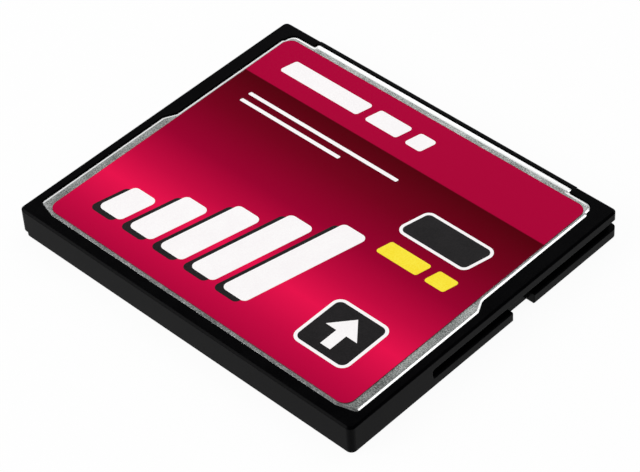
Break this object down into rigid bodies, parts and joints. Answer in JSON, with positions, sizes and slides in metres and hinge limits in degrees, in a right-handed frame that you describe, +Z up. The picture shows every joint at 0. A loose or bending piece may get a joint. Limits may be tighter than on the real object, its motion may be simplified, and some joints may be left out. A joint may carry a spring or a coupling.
{
  "type": "compact flash card",
  "caption": "Flat memory card with a socket edge, side guide grooves, steel covers and a printed top label over a populated board.",
  "frame": {"origin": "centre of the card's underside, in the middle of its width and length", "axes": "+X across the card to the side with the narrow guide groove, +Y out of the connector edge, +Z up through the label"},
  "size_m": [0.0428, 0.0364, 0.0033],
  "materials": {
    "frame_plastic": "fine moulded texture",
    "housing_plastic": "fine moulded texture",
    "cover_steel": "speckled satin",
    "base_steel": "satin",
    "label_print": "printed film",
    "bonding_film": "plain",
    "contact_metal": "gold plated",
    "board_laminate": "solder mask",
    "package_resin": "moulded",
    "lead_metal": "tinned",
    "crystal_can": "satin",
    "capacitor_ceramic": "fired",
    "resistor_ceramic": "glazed"
  },
  "bodies": {
    "root": {"frame": "frame_plastic", "top_cover": "cover_steel", "bottom_cover": "base_steel", "bonding_film_top": "bonding_film", "bonding_film_bottom": "bonding_film", "top_label": "label_print", "connector_housing": "housing_plastic", "contacts_upper": "contact_metal", "contacts_lower": "contact_metal", "circuit_board": "board_laminate", "controller_chip": "package_resin", "controller_leads": "lead_metal", "flash_chip_1": "package_resin", "flash_chip_2": "package_resin", "flash_chip_3": "package_resin", "flash_chip_4": "package_resin", "flash_leads_1": "lead_metal", "flash_leads_2": "lead_metal", "flash_leads_3": "lead_metal", "flash_leads_4": "lead_metal", "crystal": "crystal_can", "voltage_regulator": "package_resin", "regulator_leads": "lead_metal", "decoupling_capacitors": "capacitor_ceramic", "bulk_capacitors": "capacitor_ceramic", "chip_resistors": "resistor_ceramic", "resistor_networks": "resistor_ceramic"}
  },
  "joints": []
}
